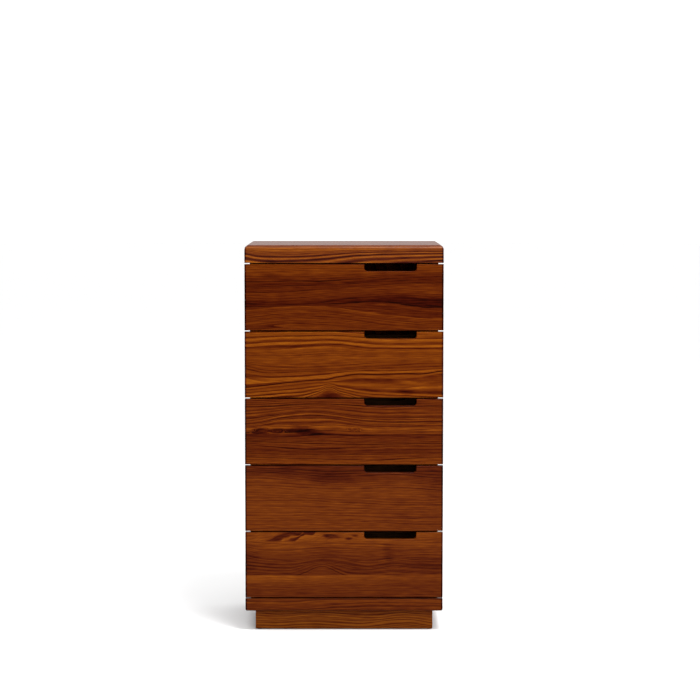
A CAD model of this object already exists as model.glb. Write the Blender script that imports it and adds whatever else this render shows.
"""Tall chest of five drawers in stained solid timber: the finished pieces around the joined frame."""

import math

import bmesh
import bpy
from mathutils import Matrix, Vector


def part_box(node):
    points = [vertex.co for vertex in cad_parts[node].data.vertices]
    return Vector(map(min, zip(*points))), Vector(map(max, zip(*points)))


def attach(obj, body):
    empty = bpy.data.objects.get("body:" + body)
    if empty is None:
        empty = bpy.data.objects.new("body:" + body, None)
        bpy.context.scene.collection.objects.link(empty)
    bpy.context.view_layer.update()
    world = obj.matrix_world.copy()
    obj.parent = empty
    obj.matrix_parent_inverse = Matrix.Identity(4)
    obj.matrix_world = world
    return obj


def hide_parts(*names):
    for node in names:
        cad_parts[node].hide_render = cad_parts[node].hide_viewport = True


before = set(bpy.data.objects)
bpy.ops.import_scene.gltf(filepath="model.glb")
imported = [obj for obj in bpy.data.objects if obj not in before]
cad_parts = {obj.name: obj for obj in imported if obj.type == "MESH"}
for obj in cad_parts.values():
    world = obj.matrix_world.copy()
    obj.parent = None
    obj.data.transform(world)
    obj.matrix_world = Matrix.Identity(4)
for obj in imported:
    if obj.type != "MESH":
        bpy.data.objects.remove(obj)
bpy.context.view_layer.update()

# ---------------------------------------------------------------------------------------------
# Top slab. One thick solid board, 54 mm, with its upper edges worked to a round and its corners
# eased. It sits on the case sides on dowels, and is rebated for the back panel.
# The stain and satin varnish used on every show board are mixed here.
# ---------------------------------------------------------------------------------------------
mm = 0.001


class Tint:
    """A value, place or colour on its way through a finish; arithmetic on it adds Math nodes."""

    def __init__(self, socket):
        self.socket = socket

    def node(self, kind, settings=(), values=(), out=0):
        """Adds a shader node, with its settings and the values or links of its sockets."""
        tree = self.socket.id_data
        made = tree.nodes.new("ShaderNode" + kind)
        for name, setting in dict(settings).items():
            if name == "stops":
                lay_stops(made.color_ramp, setting)
            elif name == "rounded_stops":
                lay_stops(made.color_ramp, setting)
                made.color_ramp.interpolation = "CARDINAL"
            else:
                setattr(made, name, setting)
        for name, value in dict(values).items():
            if isinstance(value, Tint):
                tree.links.new(value.socket, made.inputs[name])
            else:
                made.inputs[name].default_value = value
        return Tint(made.outputs[out])

    def maths(self, operation, *values):
        return self.node("Math", {"operation": operation}, dict(enumerate(values)))

    def __add__(self, other):
        return self.maths("ADD", self, other)

    def __sub__(self, other):
        return self.maths("SUBTRACT", self, other)

    def __mul__(self, other):
        return self.maths("MULTIPLY", self, other)

    def __rsub__(self, other):
        return self.maths("SUBTRACT", other, self)

    __radd__ = __add__
    __rmul__ = __mul__

    def power(self, other):
        return self.maths("POWER", self, other)

    def size(self):
        return self.maths("ABSOLUTE", self)

    def limited(self):
        return self.node("Clamp", (), {"Value": self, "Min": 0.0, "Max": 1.0})

    def moved(self, scale, shift=(0, 0, 0)):
        return self.node("Mapping", (), {"Vector": self, "Location": shift, "Scale": scale})

    def parts(self):
        cut = self.node("SeparateXYZ", (), {"Vector": self})
        return [Tint(socket) for socket in cut.socket.node.outputs]

    def eased(self, start, end, high=1.0):
        values = {"Value": self, "From Min": start, "From Max": end, "To Min": 0.0, "To Max": high}
        return self.node("MapRange", {"interpolation_type": "SMOOTHERSTEP"}, values)

    def streaks(self, detail=2.0, roughness=0.5):
        values = {"Vector": self, "Scale": 1.0, "Detail": detail, "Roughness": roughness}
        return self.node("TexNoise", (), values)

    def blended(self, first, second):
        """A mix of two colours; the numbers are the Mix node's sockets for colours."""
        return self.node("Mix", {"data_type": "RGBA"}, {0: self, 6: first, 7: second}, 2)


def lay_stops(ramp, stops):
    """Sets a ramp's stops from (place, grey or colour) pairs in rising order."""
    while len(ramp.elements) > 1:
        ramp.elements.remove(ramp.elements[-1])
    for count, (place, colour) in enumerate(stops):
        stop = ramp.elements[0] if count == 0 else ramp.elements.new(place)
        stop.position = place
        colour = (colour,) * 3 if isinstance(colour, (int, float)) else colour
        stop.color = (*colour, 1.0)


def new_finish(name, **settings):
    """A material with its shader's plain settings; returns it, its shader, and the place on the piece."""
    material = bpy.data.materials.new(name)
    material.use_nodes = True
    shader = material.node_tree.nodes["Principled BSDF"]
    for socket, value in settings.items():
        shader.inputs[socket.replace("_", " ")].default_value = value
    where = material.node_tree.nodes.new("ShaderNodeTexCoord")
    return material, shader, Tint(where.outputs["Object"])


def feed(shader, socket, tint):
    shader.id_data.links.new(tint.socket, shader.inputs[socket])


def seen(red, green, blue):
    """A colour as the eye reads it on a 0-255 scale, turned to the amount of light."""
    levels = [level / 255 for level in (red, green, blue)]
    return tuple(c / 12.92 if c < 0.0404 else ((c + 0.055) / 1.055) ** 2.4 for c in levels)


studio_share = (0.48, 0.40, 0.20)


def soaked(red, green, blue):
    """A stained colour as it looks in the studio, as the share of light the board gives back."""
    return tuple(share * c for share, c in zip(studio_share, seen(red, green, blue)))


stain_tones = [
    (0.00, soaked(26, 3, 0)),
    (0.15, soaked(56, 9, 0)),
    (0.25, soaked(73, 18, 0)),
    (0.35, soaked(86, 30, 3)),
    (0.45, soaked(98, 39, 6)),
    (0.55, soaked(110, 49, 8)),
    (0.65, soaked(122, 59, 11)),
    (0.75, soaked(134, 69, 15)),
    (0.85, soaked(146, 79, 18)),
    (1.00, soaked(168, 98, 26)),
]


def grain(length, width):
    """The scale of a pattern whose streaks are so many millimetres long and wide."""
    return 1 / length, 1 / width, 1 / width


def line_along(along, points):
    """How far across the board a growth line lies, drawn through (along, across) points."""
    start, end = points[0][0], points[-1][0]
    margin = 20
    low = min(across for _, across in points) - margin
    high = max(across for _, across in points) + margin
    stops = [((x - start) / (end - start), (across - low) / (high - low)) for x, across in points]
    spot = (along - start) * (1 / (end - start))
    height = spot.node("ValToRGB", {"rounded_stops": stops}, {"Fac": spot})
    return height * (high - low) + low


def follow(along, across, flow):
    """Across, bent so that each ring of the flow lies along its own line."""
    bent = flow[0][0]
    lines = [(ring, line_along(along, points)) for ring, points in flow]
    for (ring, line), (next_ring, next_line) in zip(lines, lines[1:]):
        values = {"Value": across, "From Min": line, "From Max": next_line, "To Max": next_ring - ring}
        bent = across.node("MapRange", (), values) + bent
    return bent


def shade_of(ring, rings):
    """The depth of colour at a ring, from a list of (ring, depth) in rising order."""
    steps = 30  # a ramp holds 32 stops, so a long list takes several ramps
    shade = None
    for first in range(0, len(rings) - 1, steps):
        some = rings[first:first + steps + 1]
        low, high = some[0][0], some[-1][0]
        stops = [((place - low) / (high - low), tone) for place, tone in some]
        spot = (ring - low) * (1 / (high - low))
        part = spot.node("ValToRGB", {"stops": stops}, {"Fac": spot})
        if shade is None:
            shade = part
        else:
            shade = shade + ring.maths("GREATER_THAN", ring, low) * (part - shade)
    return shade


def patch(place, along, across, half_long, half_wide, amount):
    """An oval patch with a ragged edge that fades out from its middle."""
    middle = (-along / half_long, -across / half_wide, 0)
    reach = place.moved((1 / half_long, 1 / half_wide, 0), middle)
    away = reach.node("VectorMath", {"operation": "LENGTH"}, {0: reach}, "Value")
    ragged = place.moved(grain(40, 9), (along, across, 0)).streaks()
    return (away + (ragged - 0.5) * 1.2).eased(1.0, 0.0, amount)


def from_heart(rise, deep):
    return (rise * rise + deep * deep).power(0.5)


late_wood, early_wood = 7, 1.2
pore_tone, fibre_tone = 0.58, 0.20


def figure(
    place, rings, wander, lines, spacing, seed, flow=(), bends=(), clouds=(), pith=(-260, 70), lean=0
):
    """How dark one stave is from place to place. place is (along, across, in) in millimetres.

    rings gives the depth of colour across the board, flow the lines that the rings follow; bends
    push the rings aside and clouds change the colour, each as (along, across, half length, half
    width, amount). wander is how far the rings stray, lines how dark the yearly lines are, and
    spacing how far apart. pith is how far across and under the face the heart of the tree lies;
    lean tilts the heart, so the rings come out in pointed arches.
    """
    along, across, inwards = place.parts()
    if flow:
        across = follow(along, across, flow)
    rise = across - pith[0]
    deep = inwards + pith[1]
    if lean:
        ring = from_heart(rise, deep + along * lean)
    else:
        ring = across + from_heart(rise, deep) - from_heart(rise, pith[1])
    drift = place.moved(grain(260, 70), (seed, seed * 2.3, seed)).streaks(1.5)
    ripple = place.moved(grain(60, 16), (seed * 3.1, seed, seed)).streaks()
    ring = ring + (drift - 0.5) * (wander * 4) + (ripple - 0.5) * wander
    for bend in bends:
        ring = ring + patch(place, *bend)
    depth = shade_of(ring, rings)

    # Each year's line is drawn hard on its late side, with a strength of its own.
    years = ring.node("CombineXYZ", (), {0: ring * (1 / 22), 1: along * (1 / 500), 2: float(seed)})
    count = (ring + years.streaks(1.0) * 24) * (1 / spacing)
    year = count.maths("FLOOR", count)
    strength = year.node("TexWhiteNoise", {"noise_dimensions": "1D"}, {"W": year + seed * 7.0})
    late = (count - year).power(2.6) * (strength + 0.25)
    pores = place.moved(grain(50, 3), (0, 0, seed)).streaks(1.0)
    fibre = place.moved(grain(30, 1.1), (0, seed, 0)).streaks(2.0, 0.6)
    depth = depth - late * (lines * late_wood) + lines * early_wood
    depth = depth + (pores - 0.5) * pore_tone + (fibre - 0.5) * fibre_tone
    for cloud in clouds:
        depth = depth + patch(place, *cloud)
    return depth, fibre


def one_plank(**settings):
    """The staves of a board cut from one plank."""
    return [(0, settings)]


def lay_on(where, corner, ways):
    """Turns places on a piece into (along, across, in) in millimetres from its corner.

    ways names the axis of each in turn, such as ("x", "-z", "y").
    """
    scale = [1000.0] * 3
    for way in ways:
        if way[0] == "-":
            scale["xyz".index(way[-1])] = -1000.0
    shift = [-c * s for c, s in zip(corner, scale)]
    parts = where.moved(scale, shift).parts()
    picked = {count: parts["xyz".index(way[-1])] for count, way in enumerate(ways)}
    return where.node("CombineXYZ", (), picked)


end_grain_tone, soaked_end_tone = 0.16, 0.45


def stained(name, corner, ways, staves, reach=None, sheen=0.07, upper=None):
    """Stained timber under satin varnish. staves is a list of (lower limit across, figure settings).

    ways is as in lay_on, and the grain runs along the first. reach is half the board's length: the
    last few millimetres soak up more stain. upper holds the (ways, figure settings) of the board's
    upper face.
    """
    material, shader, where = new_finish(name, Specular_IOR_Level=sheen)
    place = lay_on(where, corner, ways)
    along, across, _ = place.parts()
    depth, fibre = figure(place, **staves[0][1])
    for limit, settings in staves[1:]:
        shade, _ = figure(place, **settings)
        depth = depth + across.maths("GREATER_THAN", across, limit) * (shade - depth)
    normal = where.node("NewGeometry", (), (), "Normal").parts()
    if upper:
        upper_ways, settings = upper
        shade, _ = figure(lay_on(where, corner, upper_ways), **settings)
        depth = depth + normal[2].eased(0.35, 0.95) * (shade - depth)
    open_ends = normal["xyz".index(ways[0])].size().eased(0.3, 0.75)
    depth = depth - open_ends * end_grain_tone
    if reach:
        soaked_ends = along.size().eased(reach - 7, reach - 2) * (1 - open_ends)
        depth = depth - soaked_ends * soaked_end_tone
    depth = depth.limited()
    feed(shader, "Base Color", depth.node("ValToRGB", {"stops": stain_tones}, {"Fac": depth}))
    feed(shader, "Roughness", 0.40 - depth * 0.08 + (fibre - 0.5) * 0.12 + open_ends * 0.1)
    height = fibre * 0.6 + depth * 0.4
    bump = where.node("Bump", (), {"Height": height, "Strength": 0.25, "Distance": 0.25 * mm})
    feed(shader, "Normal", bump)
    return material


def edges_where(blank, test):
    """The blank's edges whose two ends both pass the test."""
    return [edge for edge in blank.edges if all(test(corner.co) for corner in edge.verts)]


def round_off(blank, edges, radius, steps):
    bmesh.ops.bevel(
        blank, geom=edges, offset=radius, segments=steps, affect="EDGES", profile=0.5, material=-1
    )


def sawn(low, high):
    """A squared blank between two corners."""
    blank = bmesh.new()
    bmesh.ops.create_cube(blank, size=1.0)
    low, high = Vector(low), Vector(high)
    bmesh.ops.scale(blank, vec=high - low, verts=blank.verts)
    bmesh.ops.translate(blank, vec=(low + high) / 2, verts=blank.verts)
    return blank


def near(a, b):
    """Whether two lengths agree within a twentieth of a millimetre."""
    return abs(a - b) < 0.05 * mm


def shade_evenly(piece):
    """Lets the flat faces keep their flat shading beside their rounded edges."""
    even = piece.modifiers.new("even shading", "WEIGHTED_NORMAL")
    even.weight = 60


def object_from(blank, name):
    """An object in the scene, made from the blank, which is used up."""
    mesh = bpy.data.meshes.new(name)
    blank.to_mesh(mesh)
    blank.free()
    made = bpy.data.objects.new(name, mesh)
    bpy.context.scene.collection.objects.link(made)
    return made


def fit_piece(name, blank, body, material, node):
    """Makes the blank a piece that rides on its body in place of the sawn part."""
    piece = object_from(blank, name)
    piece.data.shade_smooth()
    piece.data.materials.append(material)
    shade_evenly(piece)
    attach(piece, body)
    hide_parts(node)
    return piece


rebate = 8 * mm
panel_play = 0.3 * mm
back_low, back_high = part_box("back_panel")


def cut_rebate(piece, low, high):
    """Cuts the back panel's rebate between two heights, out through the board's back edge."""
    past_back = 1
    left, right = back_low.x - panel_play, back_high.x + panel_play
    waste = object_from(sawn((left, back_low.y, low), (right, past_back, high)), "waste")
    cut = piece.modifiers.new("rebate", "BOOLEAN")
    cut.object = waste
    cut.solver = "EXACT"
    bpy.context.view_layer.update()
    rebated = piece.evaluated_get(bpy.context.evaluated_depsgraph_get())
    cut_mesh = bpy.data.meshes.new_from_object(rebated)
    piece.modifiers.clear()
    piece.data = cut_mesh
    bpy.data.objects.remove(waste)
    shade_evenly(piece)


top_low, top_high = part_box("top")
top_round = 14 * mm
corner_ease = 2.5 * mm
arris = 1.2 * mm
half_length = 300  # of the top, the bottom board and the fronts, in millimetres


def up_corner(edge):
    """Whether an edge climbs one of the slab's corners, as far from the end as from the side."""
    mitred = all(
        near(top_high.x - abs(corner.co.x), top_high.y - abs(corner.co.y)) for corner in edge.verts
    )
    climb = abs(edge.verts[0].co.z - edge.verts[1].co.z)
    return mitred and climb > 0.1 * mm


blank = sawn(top_low, top_high)
upper = edges_where(blank, lambda co: near(co.z, top_high.z))
round_off(blank, upper, top_round, 9)
round_off(blank, [edge for edge in blank.edges if up_corner(edge)], corner_ease, 3)
under = edges_where(blank, lambda co: near(co.z, top_low.z))
round_off(blank, under, arris, 2)
for corner in blank.verts:  # the rounding may leave a corner a hair outside the board's width
    corner.co.x = min(max(corner.co.x, top_low.x), top_high.x)
    corner.co.y = min(max(corner.co.y, top_low.y), top_high.y)
top_stain = stained(
    "stained_top",
    (0, top_low.y, top_high.z),
    ("x", "-z", "y"),
    one_plank(
        rings=[(-4, 0.86), (8, 0.86), (18, 0.84), (21, 0.72), (24, 0.48), (27, 0.74), (29, 0.72), (31, 0.52),
               (33, 0.24), (35.5, 0.28), (38, 0.88), (40, 0.90), (42, 0.54), (43.5, 0.20), (45.5, 0.26),
               (48, 0.96), (50, 0.96), (52, 0.54), (53.5, 0.24), (55.5, 0.30), (58, 0.90), (60, 0.88),
               (62, 0.50), (64, 0.18), (68, 0.60), (80, 0.66), (100, 0.50), (130, 0.70), (170, 0.52),
               (220, 0.70), (300, 0.5), (470, 0.7)],
        flow=[
            (0, [(-300, 0), (300, 0)]),
            (24, [(-300, 16), (-270, 22), (-240, 26), (-150, 27), (-100, 24), (0, 20), (300, 14)]),
            (34, [(-300, 26), (-270, 32), (-240, 35), (-130, 35), (-70, 31), (-10, 26), (50, 22),
                  (300, 18)]),
            (44, [(-300, 38), (-270, 44), (-220, 48), (-150, 46), (-100, 43), (-70, 41), (-40, 38), (20, 32),
                  (80, 29), (120, 27), (300, 25)]),
            (54, [(-300, 60), (-200, 68), (-100, 64), (-40, 58), (20, 48), (50, 44), (80, 42), (150, 40),
                  (200, 38), (300, 35)]),
            (64, [(-300, 80), (-100, 80), (50, 62), (150, 54), (230, 49), (270, 47), (300, 46)]),
            (80, [(-300, 96), (0, 92), (300, 68)]),
        ],
        wander=0.8, lines=0.05, spacing=6.5, pith=(-420, 60), seed=3),
    reach=half_length,
    sheen=0.13,
    upper=(("x", "y", "z"), dict(
        rings=[(30, 0.60), (50, 0.68), (60, 0.50), (66, 0.66), (84, 0.74), (91, 0.50), (98, 0.66),
               (116, 0.72), (123, 0.52), (132, 0.66), (150, 0.74), (158, 0.52), (168, 0.66), (190, 0.74),
               (198, 0.54), (210, 0.68), (235, 0.62), (290, 0.68)],
        wander=3, lines=0.06, spacing=6.5, pith=(240, 70), lean=0.09, seed=8)),
)
top_piece = fit_piece("top_slab", blank, "case", top_stain, "top")
cut_rebate(top_piece, top_low.z - rebate, top_low.z + rebate)

# ---------------------------------------------------------------------------------------------
# Bottom board. Solid board, 38 mm, the same width as the drawer fronts, with its lower edges
# rounded over. The case sides are dowelled to it and it is glued down on the plinth.
# ---------------------------------------------------------------------------------------------
board_low, board_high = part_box("bottom_board")
lower_round = 6 * mm


def sharp_edges(blank, turn=50):
    """The edges where the surface turns by more than so many degrees."""
    return [edge for edge in blank.edges if edge.calc_face_angle(0) > math.radians(turn)]


blank = sawn(board_low, board_high)
lower = edges_where(blank, lambda co: near(co.z, board_low.z))
round_off(blank, lower, lower_round, 5)
round_off(blank, sharp_edges(blank, 45), arris, 2)
board_stain = stained(
    "stained_bottom_board",
    (0, board_low.y, board_high.z),
    ("x", "-z", "y"),
    one_plank(
        rings=[(-6, 0.56), (3, 0.54), (7, 0.64), (12, 0.60), (16, 0.50), (20, 0.60), (26, 0.48), (32, 0.56),
               (38, 0.48), (60, 0.58), (120, 0.48), (200, 0.58), (460, 0.5)],
        flow=[(0, [(-300, 0), (300, 0)]), (18, [(-300, 22), (-120, 24), (60, 14), (300, 18)]),
              (60, [(-300, 60), (300, 60)])],
        wander=2.5, lines=0.07, spacing=8.0, pith=(-300, 120), seed=11),
    reach=half_length,
)
board_piece = fit_piece("bottom_board_eased", blank, "case", board_stain, "bottom_board")
cut_rebate(board_piece, board_high.z - rebate, 1)

# ---------------------------------------------------------------------------------------------
# Drawer fronts. Solid boards 22 mm thick across the full width, each with its own figure: four are
# cut from one plank and the lowest is glued up from three. The finger pull is routed into the top
# edge, and all edges are eased.
# ---------------------------------------------------------------------------------------------
pull_left, pull_right = 61 * mm, 219 * mm
pull_depth = 21 * mm
pull_corner = 10 * mm
face_ease = 2.5 * mm
front_arris = 0.8 * mm


def front_blank(low, high):
    """A drawer front with its finger pull, drawn on the face and pulled back to its thickness."""
    blank = bmesh.new()
    sill = high.z - pull_depth
    outline = [
        (low.x, low.z), (high.x, low.z), (high.x, high.z), (pull_right, high.z),
        (pull_right, sill), (pull_left, sill), (pull_left, high.z), (low.x, high.z),
    ]
    face = blank.faces.new([blank.verts.new((x, low.y, z)) for x, z in outline])
    pulled = bmesh.ops.extrude_face_region(blank, geom=[face])["geom"]
    corners = [item for item in pulled if isinstance(item, bmesh.types.BMVert)]
    bmesh.ops.translate(blank, vec=(0, high.y - low.y, 0), verts=corners)
    bmesh.ops.recalc_face_normals(blank, faces=blank.faces)
    at_sill = edges_where(blank, lambda co: near(co.z, sill))
    inner = [edge for edge in at_sill if near(edge.verts[0].co.x, edge.verts[1].co.x)]
    round_off(blank, inner, pull_corner, 8)
    face_edges = edges_where(blank, lambda co: near(co.y, low.y))
    round_off(blank, face_edges, face_ease, 4)
    round_off(blank, sharp_edges(blank), front_arris, 2)
    return blank


figures = {
    1: one_plank(
        rings=[(-20, 0.58), (0, 0.60), (14, 0.62), (24, 0.56), (34, 0.50), (45, 0.42), (57, 0.32),
               (66, 0.33), (78, 0.42), (90, 0.46), (102, 0.42), (110, 0.34), (114, 0.27), (117, 0.22),
               (121, 0.27), (124, 0.34), (125, 0.28), (126, 0.44), (126.5, 0.28), (128, 0.32),
               (128.5, 0.48), (129.2, 0.32), (130, 0.60), (133, 0.62), (136, 0.44), (139, 0.56),
               (142, 0.40), (146, 0.60), (149, 0.42), (153, 0.60), (157, 0.42), (161, 0.54), (166, 0.44),
               (172, 0.54), (180, 0.48), (199, 0.50), (215, 0.50)],
        flow=[
            (-10, [(-300, -10), (300, -10)]),
            (60, [(-300, 64), (-150, 60), (0, 56), (150, 46), (300, 42)]),
            (118, [(-300, 118), (-200, 121), (-100, 118), (-50, 112), (0, 107), (50, 104), (150, 101),
                   (200, 102), (250, 108), (300, 110)]),
            (123, [(-300, 125), (-200, 125), (-100, 122), (-50, 118), (0, 114), (50, 112), (150, 110),
                   (200, 111), (250, 116), (300, 118)]),
            (130, [(-300, 138), (-200, 128), (-100, 126), (-50, 128), (0, 134), (50, 144), (100, 150),
                   (200, 159), (300, 168)]),
            (165, [(-300, 172), (-200, 158), (-100, 157), (0, 162), (100, 175), (200, 185), (300, 190)]),
            (215, [(-300, 218), (300, 225)]),
        ],
        clouds=[(240, 78, 130, 26, 0.07), (-215, 35, 50, 14, -0.09), (-300, 118, 90, 12, -0.06)],
        wander=1.5, lines=0.05, spacing=7.0, seed=1),
    2: one_plank(
        rings=[(-20, 0.62), (0, 0.66), (3, 0.80), (9, 0.76), (12, 0.60), (14, 0.56), (17, 0.84), (22, 0.82),
               (25, 0.50), (28, 0.42), (30, 0.64), (32, 0.86), (38, 0.88), (40, 0.60), (42, 0.40),
               (45, 0.36), (47, 0.55), (50, 0.76), (55, 0.70), (62, 0.64), (80, 0.67), (100, 0.64),
               (107, 0.62), (114, 0.56), (119, 0.58), (121, 0.42), (123, 0.60), (127, 0.68), (132, 0.62),
               (135, 0.42), (137, 0.38), (139, 0.74), (143, 0.90), (149, 0.86), (152, 0.50), (154, 0.24),
               (156, 0.24), (158, 0.74), (162, 0.72), (163.5, 0.38), (167, 0.60), (171, 0.84), (174, 0.26),
               (177, 0.84), (181, 0.80), (184, 0.24), (187, 0.86), (191, 0.82), (194, 0.24), (197, 0.86),
               (201, 0.82), (204, 0.26), (207, 0.80), (211, 0.70), (216, 0.50)],
        flow=[
            (-10, [(-300, -10), (300, -10)]),
            (27, [(-300, 33), (-250, 30), (-200, 27), (-100, 26), (-30, 24), (20, 28), (60, 31), (100, 35),
                  (200, 36), (300, 35)]),
            (43, [(-300, 49), (-250, 46), (-200, 44), (-150, 43), (-100, 40), (-50, 38), (0, 40), (50, 46),
                  (100, 49), (200, 50), (300, 50)]),
            (107, [(-300, 97), (-250, 106), (-150, 108), (0, 104), (100, 98), (300, 94)]),
            (121, [(-300, 112), (-240, 124), (-150, 121), (-60, 119), (25, 115), (70, 111), (150, 112),
                   (300, 105)]),
            (136, [(-300, 133), (-230, 138), (-150, 135), (-100, 131), (-45, 126), (0, 121), (50, 118),
                   (150, 118), (300, 111)]),
            (155, [(-300, 168), (-195, 158), (-140, 152), (-97, 148), (-52, 145), (-29, 139), (5, 133),
                   (43, 128), (107, 129), (183, 126), (239, 127), (273, 122), (300, 118)]),
            (163, [(-300, 175), (-195, 165), (-97, 155), (-50, 152), (-10, 147), (32, 142), (120, 142),
                   (183, 142), (220, 137), (251, 133), (300, 127)]),
            (175, [(-300, 184), (-200, 178), (-120, 172), (-70, 165), (-44, 159), (-20, 165), (30, 175),
                   (80, 181), (130, 184), (300, 190)]),
            (215, [(-300, 224), (-200, 220), (-120, 212), (-70, 190), (-44, 178), (-20, 190), (30, 206),
                   (80, 216), (130, 220), (300, 228)]),
        ],
        clouds=[(-155, 43, 80, 9, -0.14), (80, 149, 120, 10, -0.20), (205, 154, 60, 8, 0.26),
                (280, 153, 40, 9, -0.14), (188, 182, 40, 20, -0.22), (-45, 194, 60, 16, -0.32),
                (-290, 75, 50, 40, -0.06)],
        wander=1.6, lines=0.06, spacing=7.0, seed=2),
    3: one_plank(
        rings=[(-6, 0.50), (0, 0.50), (4, 0.44), (8, 0.56), (12, 0.44), (16, 0.58), (20, 0.40), (23, 0.58),
               (27, 0.42), (31, 0.60), (35, 0.42), (39, 0.64), (43, 0.46), (46, 0.34), (49, 0.62), (53, 0.68),
               (56, 0.46), (58, 0.32), (61, 0.58), (65, 0.72), (69, 0.58), (72, 0.38), (74, 0.32), (77, 0.62),
               (82, 0.74), (92, 0.72), (97, 0.60), (100, 0.42), (103, 0.64), (106, 0.48), (108, 0.28),
               (112, 0.26), (116, 0.38), (122, 0.46), (135, 0.50), (148, 0.48), (154, 0.38), (160, 0.35),
               (166, 0.48), (175, 0.53), (190, 0.60), (199, 0.63), (215, 0.6)],
        flow=[
            (-10, [(-300, -10), (300, -10)]),
            (20, [(-300, 27), (-200, 22), (-100, 16), (0, 18), (100, 22), (300, 24)]),
            (47, [(-300, 62), (-250, 56), (-200, 49), (-150, 42), (-100, 38), (-50, 40), (0, 47), (50, 54),
                  (100, 57), (300, 56)]),
            (58, [(-300, 77), (-250, 71), (-220, 64), (-200, 59), (-150, 53), (-100, 50), (-50, 52), (0, 59),
                  (50, 66), (100, 69), (300, 70)]),
            (74, [(-300, 85), (-250, 81), (-220, 76), (-200, 73), (-150, 74), (-100, 73), (-50, 70), (0, 74),
                  (50, 81), (100, 83), (300, 82)]),
            (110, [(-300, 108), (-200, 111), (-100, 108), (-50, 107), (0, 109), (100, 111), (300, 111)]),
            (158, [(-300, 150), (-200, 155), (-100, 160), (100, 160), (300, 157)]),
            (215, [(-300, 215), (300, 215)]),
        ],
        bends=[(-250, 95, 40, 16, 26), (-203, 97, 30, 14, 24), (35, 92, 34, 9, 20)],
        clouds=[(-135, 94, 80, 20, -0.42), (-90, 102, 80, 13, -0.32), (-190, 97, 70, 10, -0.22),
                (-262, 96, 40, 16, -0.20), (-60, 138, 120, 20, 0.05), (-290, 125, 120, 40, -0.05)],
        wander=1.8, lines=0.09, spacing=6.5, seed=3),
    4: one_plank(
        rings=[(-10, 0.42), (0, 0.42), (14, 0.40), (26, 0.43), (36, 0.46), (44, 0.55), (52, 0.60), (80, 0.63),
               (100, 0.58), (120, 0.63), (140, 0.60), (160, 0.64), (180, 0.60), (199, 0.63), (215, 0.6)],
        flow=[
            (-10, [(-300, -10), (300, -10)]),
            (40, [(-300, 30), (-200, 34), (-80, 46), (0, 48), (100, 42), (200, 43), (300, 50)]),
            (120, [(-300, 112), (0, 118), (300, 124)]),
            (215, [(-300, 215), (100, 212), (300, 225)]),
        ],
        clouds=[(-40, 36, 110, 34, -0.15), (-180, 14, 130, 18, -0.08), (285, 70, 80, 60, -0.14),
                (230, 160, 200, 60, -0.06), (-200, 130, 170, 80, 0.05), (-230, 52, 90, 22, 0.04)],
        wander=3.5, lines=0.06, spacing=8.0, seed=4),
    5: [
        (0, dict(
            rings=[(-40, 0.62), (-20, 0.80), (-8, 0.78), (-2, 0.34), (4, 0.32), (8, 0.84), (12, 0.84),
                   (16, 0.36), (24, 0.22), (28, 0.86), (42, 0.84), (60, 0.74), (80, 0.80), (110, 0.74),
                   (125, 0.76), (170, 0.64)],
            flow=[
                (-40, [(-300, 0), (-260, -12), (-200, -50), (300, -300)]),
                (0, [(-300, 66), (-260, 42), (-215, 22), (-190, 12), (-165, 2), (-120, -20), (300, -220)]),
                (22, [(-300, 120), (-190, 50), (-165, 34), (-150, 23), (-135, 12), (-120, 3), (-80, -18),
                      (300, -180)]),
                (50, [(-300, 180), (-140, 52), (-110, 32), (-85, 16), (-65, 4), (-30, -14), (300, -120)]),
                (80, [(-300, 240), (-60, 60), (0, 30), (60, 6), (300, -60)]),
                (170, [(-300, 400), (0, 120), (100, 50), (300, 30)]),
            ],
            clouds=[(-37, 12, 40, 11, -0.70), (-37, 12, 18, 4, 0.45), (14, 20, 20, 7, -0.55),
                    (34, 11, 20, 7, -0.50), (-230, 14, 40, 10, -0.14)],
            wander=1.0, lines=0.03, spacing=7.0, seed=5)),
        (27, dict(
            rings=[(10, 0.64), (28, 0.70), (34, 0.64), (40, 0.70), (46, 0.60), (52, 0.64), (58, 0.54),
                   (62, 0.62), (66, 0.50), (72, 0.60), (76, 0.46), (82, 0.58), (86, 0.46), (90, 0.58),
                   (94, 0.42), (99, 0.56), (103, 0.42), (108, 0.56), (113, 0.38), (118, 0.56), (123, 0.40),
                   (130, 0.58), (136, 0.42), (150, 0.50)],
            flow=[
                (10, [(-300, 10), (300, 10)]),
                (60, [(-300, 50), (-270, 60), (-220, 66), (-150, 66), (-100, 62), (-50, 58), (50, 60),
                      (150, 62), (300, 60)]),
                (90, [(-300, 84), (-250, 90), (-200, 93), (-150, 92), (-110, 86), (-70, 80), (-20, 82),
                      (20, 90), (60, 98), (100, 97), (150, 88), (200, 94), (300, 96)]),
                (110, [(-300, 108), (-200, 112), (-150, 110), (-110, 98), (-68, 92), (-30, 97), (10, 108),
                       (60, 112), (100, 108), (150, 100), (200, 106), (300, 110)]),
                (150, [(-300, 150), (-160, 150), (-110, 132), (-68, 112), (-30, 130), (10, 150), (300, 150)]),
            ],
            clouds=[(-190, 44, 120, 32, 0.08), (-55, 62, 60, 40, -0.07), (135, 62, 34, 40, -0.15),
                    (170, 50, 20, 26, -0.06), (-285, 90, 40, 60, -0.10), (250, 95, 120, 60, -0.08),
                    (60, 118, 90, 16, -0.06)],
            wander=2.0, lines=0.055, spacing=7.0, seed=6)),
        (132, dict(
            rings=[(110, 0.78), (132, 0.78), (140, 0.73), (154, 0.62), (166, 0.56), (199, 0.51), (240, 0.5)],
            clouds=[(-240, 138, 240, 34, 0.08), (240, 145, 260, 50, -0.08)],
            wander=3, lines=0.02, spacing=8.0, seed=7)),
    ],
}
front_sheens = {1: 0.035, 2: 0.035, 3: 0.05, 4: 0.07, 5: 0.07}  # the upper fronts are rubbed duller
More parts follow.
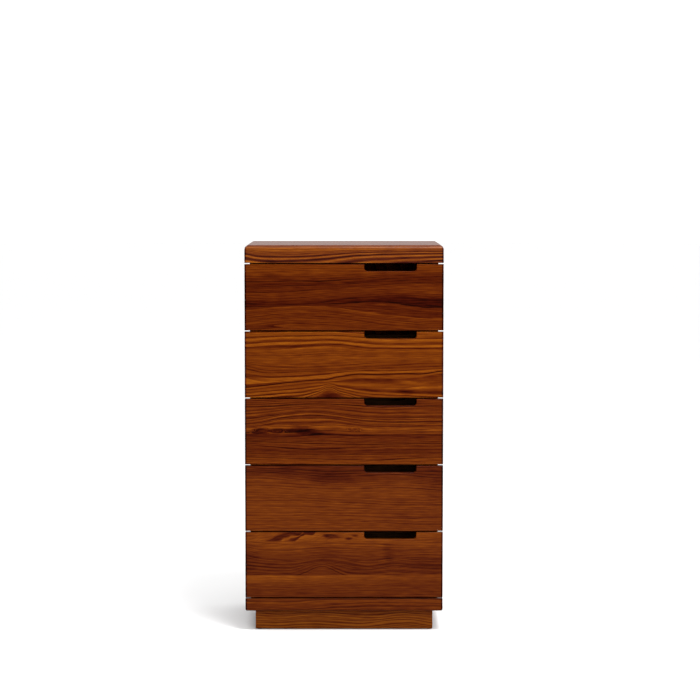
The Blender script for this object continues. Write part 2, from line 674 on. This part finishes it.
for count, staves in figures.items():
    node = f"drawer_{count}_front"
    low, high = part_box(node)
    front_stain = stained(
        f"stained_front_{count}",
        (0, low.y, high.z),
        ("x", "-z", "y"),
        staves,
        reach=half_length,
        sheen=front_sheens[count],
    )
    fit_piece(f"{node}_board", front_blank(low, high), f"drawer_{count}", front_stain, node)

# ---------------------------------------------------------------------------------------------
# Case sides. Solid boards 22 mm thick with upright grain, set in from the ends of the fronts.
# Their back edges are rebated for the back panel; every other joint is a blind dowel.
# ---------------------------------------------------------------------------------------------


def eased_copy(node, ease):
    """A sawn part with its arrises taken off, after its loose triangles are joined to flat faces."""
    same_place, same_plane = 0.002 * mm, math.radians(1)
    blank = bmesh.new()
    blank.from_mesh(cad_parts[node].data)
    bmesh.ops.remove_doubles(blank, verts=blank.verts, dist=same_place)
    bmesh.ops.dissolve_limit(blank, angle_limit=same_plane, verts=blank.verts, edges=blank.edges)
    round_off(blank, sharp_edges(blank), ease, 2)
    return blank


side_rings = [(20, 0.5), (31, 0.62), (34, 0.34), (39, 0.60), (52, 0.68), (56, 0.36), (60, 0.58), (72, 0.66),
              (76, 0.38), (84, 0.60), (96, 0.70), (101, 0.34), (106, 0.60), (116, 0.50), (128, 0.68),
              (132, 0.36), (140, 0.58), (155, 0.48), (168, 0.64), (174, 0.42), (190, 0.56), (205, 0.64),
              (212, 0.44), (240, 0.56), (300, 0.48)]
side_ease = 1.0 * mm
heart_across, heart_under, heart_lean = 24, 90, 0.11
for hand, outwards in (("left", -1), ("right", 1)):
    node = f"{hand}_side"
    low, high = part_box(node)
    middle = (low + high) / 2
    face = low.x if outwards < 0 else high.x
    side_stain = stained(
        f"stained_{hand}_side",
        (face, middle.y, middle.z),
        ("z", "y", "x"),
        one_plank(
            rings=side_rings, wander=5, lines=0.07, spacing=6.0, seed=20 + 3 * outwards,
            pith=(heart_across * outwards, -heart_under * outwards), lean=-heart_lean * outwards),
    )
    fit_piece(f"{hand}_case_side", eased_copy(node, side_ease), "case", side_stain, node)

# ---------------------------------------------------------------------------------------------
# Plinth. Four boards 20 mm thick, mitred at the corners and set back under the bottom board,
# with glue blocks inside the corners and a thin glide under each corner.
# ---------------------------------------------------------------------------------------------
plinth_ease = 0.8 * mm
plinth_rings = [(-20, 0.50), (0, 0.40), (5, 0.54), (9, 0.74), (12, 0.58), (17, 0.80), (20, 0.60), (26, 0.88),
                (29, 0.64), (35, 0.90), (39, 0.72), (46, 0.90), (50, 0.74), (60, 0.80), (90, 0.7)]
plinth_flow = [
    (0, [(-270, 0), (270, 0)]),
    (20, [(-270, 16), (-200, 20), (-100, 14), (0, 20), (100, 26), (180, 18), (270, 24)]),
    (40, [(-270, 38), (-200, 40), (-120, 32), (-50, 36), (50, 44), (120, 38), (200, 34), (270, 42)]),
    (90, [(-270, 90), (270, 90)]),
]
plinth_ways = {
    "plinth_front": ("x", "-z", "y"),
    "plinth_back": ("x", "-z", "y"),
    "plinth_ends": ("y", "-z", "x"),
}
for count, (node, ways) in enumerate(plinth_ways.items()):
    low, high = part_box(node)
    plinth_stain = stained(
        f"stained_{node}",
        (0, low.y, high.z),
        ways,
        one_plank(
            rings=plinth_rings, flow=plinth_flow, wander=2.5, lines=0.10, spacing=7.0, seed=31 + count),
    )
    fit_piece(f"{node}_board", eased_copy(node, plinth_ease), "case", plinth_stain, node)

# ---------------------------------------------------------------------------------------------
# Drawer rails. Solid rails between the case sides, one under each of the upper four drawers,
# dowelled at both ends and stained with the case.
# ---------------------------------------------------------------------------------------------
rail_ease = 0.8 * mm
rail_stain = stained(
    "stained_rails",
    (0, 0, 0),
    ("x", "-z", "y"),
    one_plank(
        rings=[(-1400, 0.45), (-1000, 0.55), (-600, 0.42), (-200, 0.55), (100, 0.45)],
        wander=6, lines=0.09, spacing=5.0, seed=41),
)
rails = eased_copy("drawer_rails", rail_ease)
fit_piece("drawer_rails_eased", rails, "case", rail_stain, "drawer_rails")

# ---------------------------------------------------------------------------------------------
# Drawer boxes. Solid timber, 14 mm, through-dovetailed at all four corners, stained walnut brown
# under a matt finish. The sides carry the tails and the front and back the pins.
# ---------------------------------------------------------------------------------------------
box_ease = 0.5 * mm
inner_tones = [
    (0.0, seen(48, 28, 14)),
    (0.35, seen(84, 54, 31)),
    (0.6, seen(102, 68, 41)),
    (1.0, seen(124, 86, 54)),
]


def inner_timber(name, ways, seed):
    """Timber stained walnut brown; ways is as in lay_on, and the grain runs along the first."""
    material, shader, where = new_finish(name, Specular_IOR_Level=0.3)
    depth, fibre = figure(
        lay_on(where, (0, 0, 0), ways),
        rings=[(-300, 0.5), (-150, 0.62), (-60, 0.45), (0, 0.6), (40, 0.48), (90, 0.62), (140, 0.46),
               (300, 0.58)],
        wander=7, lines=0.10, spacing=3.0, seed=seed,
    )
    normal = where.node("NewGeometry", (), (), "Normal").parts()
    open_ends = normal["xyz".index(ways[0])].size().eased(0.55, 0.9)
    depth = (depth - open_ends * 0.3).limited()
    feed(shader, "Base Color", depth.node("ValToRGB", {"stops": inner_tones}, {"Fac": depth}))
    feed(shader, "Roughness", 0.58 + (fibre - 0.5) * 0.15)
    bump = where.node("Bump", (), {"Height": fibre, "Strength": 0.25, "Distance": 0.2 * mm})
    feed(shader, "Normal", bump)
    return material


def finish_as_sawn(node, finish):
    """Gives a sawn part its finish, without easing its edges."""
    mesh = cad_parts[node].data
    mesh.materials.clear()
    mesh.materials.append(finish)


end_boards = inner_timber("inner_timber_ends", ("x", "-z", "y"), 51)
side_boards = inner_timber("inner_timber_sides", ("y", "-z", "x"), 57)
box_boards = {
    "box_front": end_boards,
    "box_back": end_boards,
    "left_side": side_boards,
    "right_side": side_boards,
}
for count in figures:
    for part, finish in box_boards.items():
        node = f"drawer_{count}_{part}"
        blank = eased_copy(node, box_ease)
        fit_piece(f"{node}_eased", blank, f"drawer_{count}", finish, node)
for node in ("plinth_blocks", "case_dowels"):
    finish_as_sawn(node, end_boards)

# ---------------------------------------------------------------------------------------------
# Panels. The drawer bottoms, 6 mm, slide in grooves in the boxes and are sealed plywood, stained
# brown. The back panel, 8 mm plywood stained with the case, is screwed into its rebate.
# ---------------------------------------------------------------------------------------------
base_ply, shader, where = new_finish("plywood_drawer_bottoms", Specular_IOR_Level=0.3)
depth, fibre = figure(
    lay_on(where, (0, 0, 0), ("x", "y", "z")),
    rings=[(-1300, 0.6), (-900, 0.48), (-500, 0.62), (-100, 0.5), (0, 0.6), (300, 0.5), (700, 0.62)],
    wander=14, lines=0.06, spacing=9.0, seed=61, pith=(-900, 60),
)
depth = depth.limited()
feed(shader, "Base Color", depth.node("ValToRGB", {"stops": inner_tones}, {"Fac": depth}))
feed(shader, "Roughness", 0.62 + (fibre - 0.5) * 0.1)
for count in figures:
    finish_as_sawn(f"drawer_{count}_bottom", base_ply)

back_ply = stained(
    "stained_plywood_back",
    (0, 0, 0),
    ("z", "x", "y"),
    one_plank(
        rings=[(15, 0.48), (40, 0.60), (60, 0.46), (85, 0.60), (110, 0.44), (140, 0.58), (180, 0.46),
               (220, 0.58), (320, 0.46)],
        wander=4, lines=0.06, spacing=9.0, seed=66, pith=(30, 80), lean=0.10),
)
finish_as_sawn("back_panel", back_ply)

# ---------------------------------------------------------------------------------------------
# Runners, screws, glides and buffers. Zinc-plated rolled steel runners and screws, black nylon
# glides under the plinth and soft grey dots that the fronts close against.
# ---------------------------------------------------------------------------------------------


def clouded(name, scale, detail, dark, pale, smooth, spread, **settings):
    """A finish that drifts between two colours, and is rougher where it is paler."""
    finish, shader, where = new_finish(name, **settings)
    cloud = where.moved(scale).streaks(detail)
    feed(shader, "Base Color", cloud.blended((*dark, 1), (*pale, 1)))
    feed(shader, "Roughness", smooth + cloud * spread)
    return finish


steel = clouded(
    "zinc_plated_steel", scale=(60, 6, 60), detail=3.0, dark=(0.50, 0.51, 0.53), pale=(0.66, 0.67, 0.68),
    smooth=0.28, spread=0.16, Metallic=1.0,
)
nylon = clouded(
    "black_nylon", scale=(900, 900, 900), detail=2.0, dark=(0.02, 0.02, 0.02), pale=(0.045, 0.045, 0.045),
    smooth=0.5, spread=0.15, Specular_IOR_Level=0.4,
)
soft_dot = clouded(
    "soft_dots", scale=(500, 500, 500), detail=2.0, dark=(0.34, 0.33, 0.30), pale=(0.44, 0.43, 0.40),
    smooth=0.3, spread=0.1, Specular_IOR_Level=0.4,
)
hardware = {"runner_case_members": steel, "back_screws": steel, "glides": nylon, "buffers": soft_dot}
for count in figures:
    for node in (f"runner_{count}_middle", f"runner_{count}_inner", f"drawer_{count}_screws"):
        hardware[node] = steel
for node, finish in hardware.items():
    finish_as_sawn(node, finish)

# ---------------------------------------------------------------------------------------------
# Studio. A wide pale floor, a pale surround with a dark end behind the camera, one soft light high
# at the front right, fills from the front and the right, and a long-lens camera above the top.
# ---------------------------------------------------------------------------------------------
floor_grey, floor_radius = 0.89, 40
floor_finish, _, _ = new_finish(
    "studio_floor", Base_Color=(floor_grey,) * 3 + (1,), Roughness=0.5, Specular_IOR_Level=0.2,
)
blank = bmesh.new()
bmesh.ops.create_circle(blank, cap_ends=True, segments=64, radius=floor_radius)
floor = object_from(blank, "studio_floor")
floor.data.materials.append(floor_finish)
floor.visible_glossy = False

world = bpy.data.worlds.new("studio")
world.use_nodes = True
bpy.context.scene.world = world
backing = world.node_tree.nodes["Background"]
view = world.node_tree.nodes.new("ShaderNodeTexCoord")
left_right, front_back, height = Tint(view.outputs["Generated"]).parts()
below = height.eased(-0.06, -0.16)
dark_end = front_back.eased(-0.05, -0.55) * height.eased(0.65, 0.28)
dim_side = left_right.eased(-0.2, -0.8) * 0.55
dim_back = front_back.eased(0.3, 0.8) * height.eased(0.40, 0.15) * 0.38
dark = below
for shaded in (dark_end, dim_side, dim_back):
    dark = dark.maths("MAXIMUM", dark, shaded)
path = world.node_tree.nodes.new("ShaderNodeLightPath")
seen_straight = Tint(path.outputs["Is Camera Ray"])
surround = (dark * 0.95 * (1 - seen_straight)).blended((1.0, 1.0, 1.0, 1), (0.0, 0.0, 0.0, 1))
feed(backing, "Color", surround)
backing.inputs["Strength"].default_value = 1.35


def soft_light(name, place, aim, width, power):
    lamp = bpy.data.lights.new(name, "AREA")
    lamp.shape = "DISK"
    lamp.size = width
    lamp.energy = power
    holder = bpy.data.objects.new(name, lamp)
    bpy.context.scene.collection.objects.link(holder)
    holder.location = place
    holder.rotation_euler = (Vector(aim) - Vector(place)).to_track_quat("-Z", "Y").to_euler()
    return holder


soft_light("key_light", place=(0.85, -1.8, 4.1), aim=(0, 0, 0.3), width=1.3, power=135)
front_fill = soft_light("front_fill", place=(0.5, -5.0, 1.7), aim=(0, 0, 0.4), width=2.6, power=120)
side_fill = soft_light("side_fill", place=(3.2, -0.9, 1.1), aim=(0, 0, 0.2), width=2.0, power=22)
front_fill.visible_glossy = False
side_fill.visible_glossy = False

camera_distance, camera_height = 7.067, 1.385
downward_tilt = 4.40
camera = bpy.data.cameras.new("camera")
camera.lens = 117
camera.sensor_width = 36
camera.shift_x = 0.0085
camera.clip_end = 200
viewpoint = bpy.data.objects.new("camera", camera)
viewpoint.location = (0, -camera_distance, camera_height)
viewpoint.rotation_euler = (math.radians(90 - downward_tilt), 0, 0)
bpy.context.scene.collection.objects.link(viewpoint)
bpy.context.scene.camera = viewpoint
bpy.context.scene.view_settings.view_transform = "Standard"
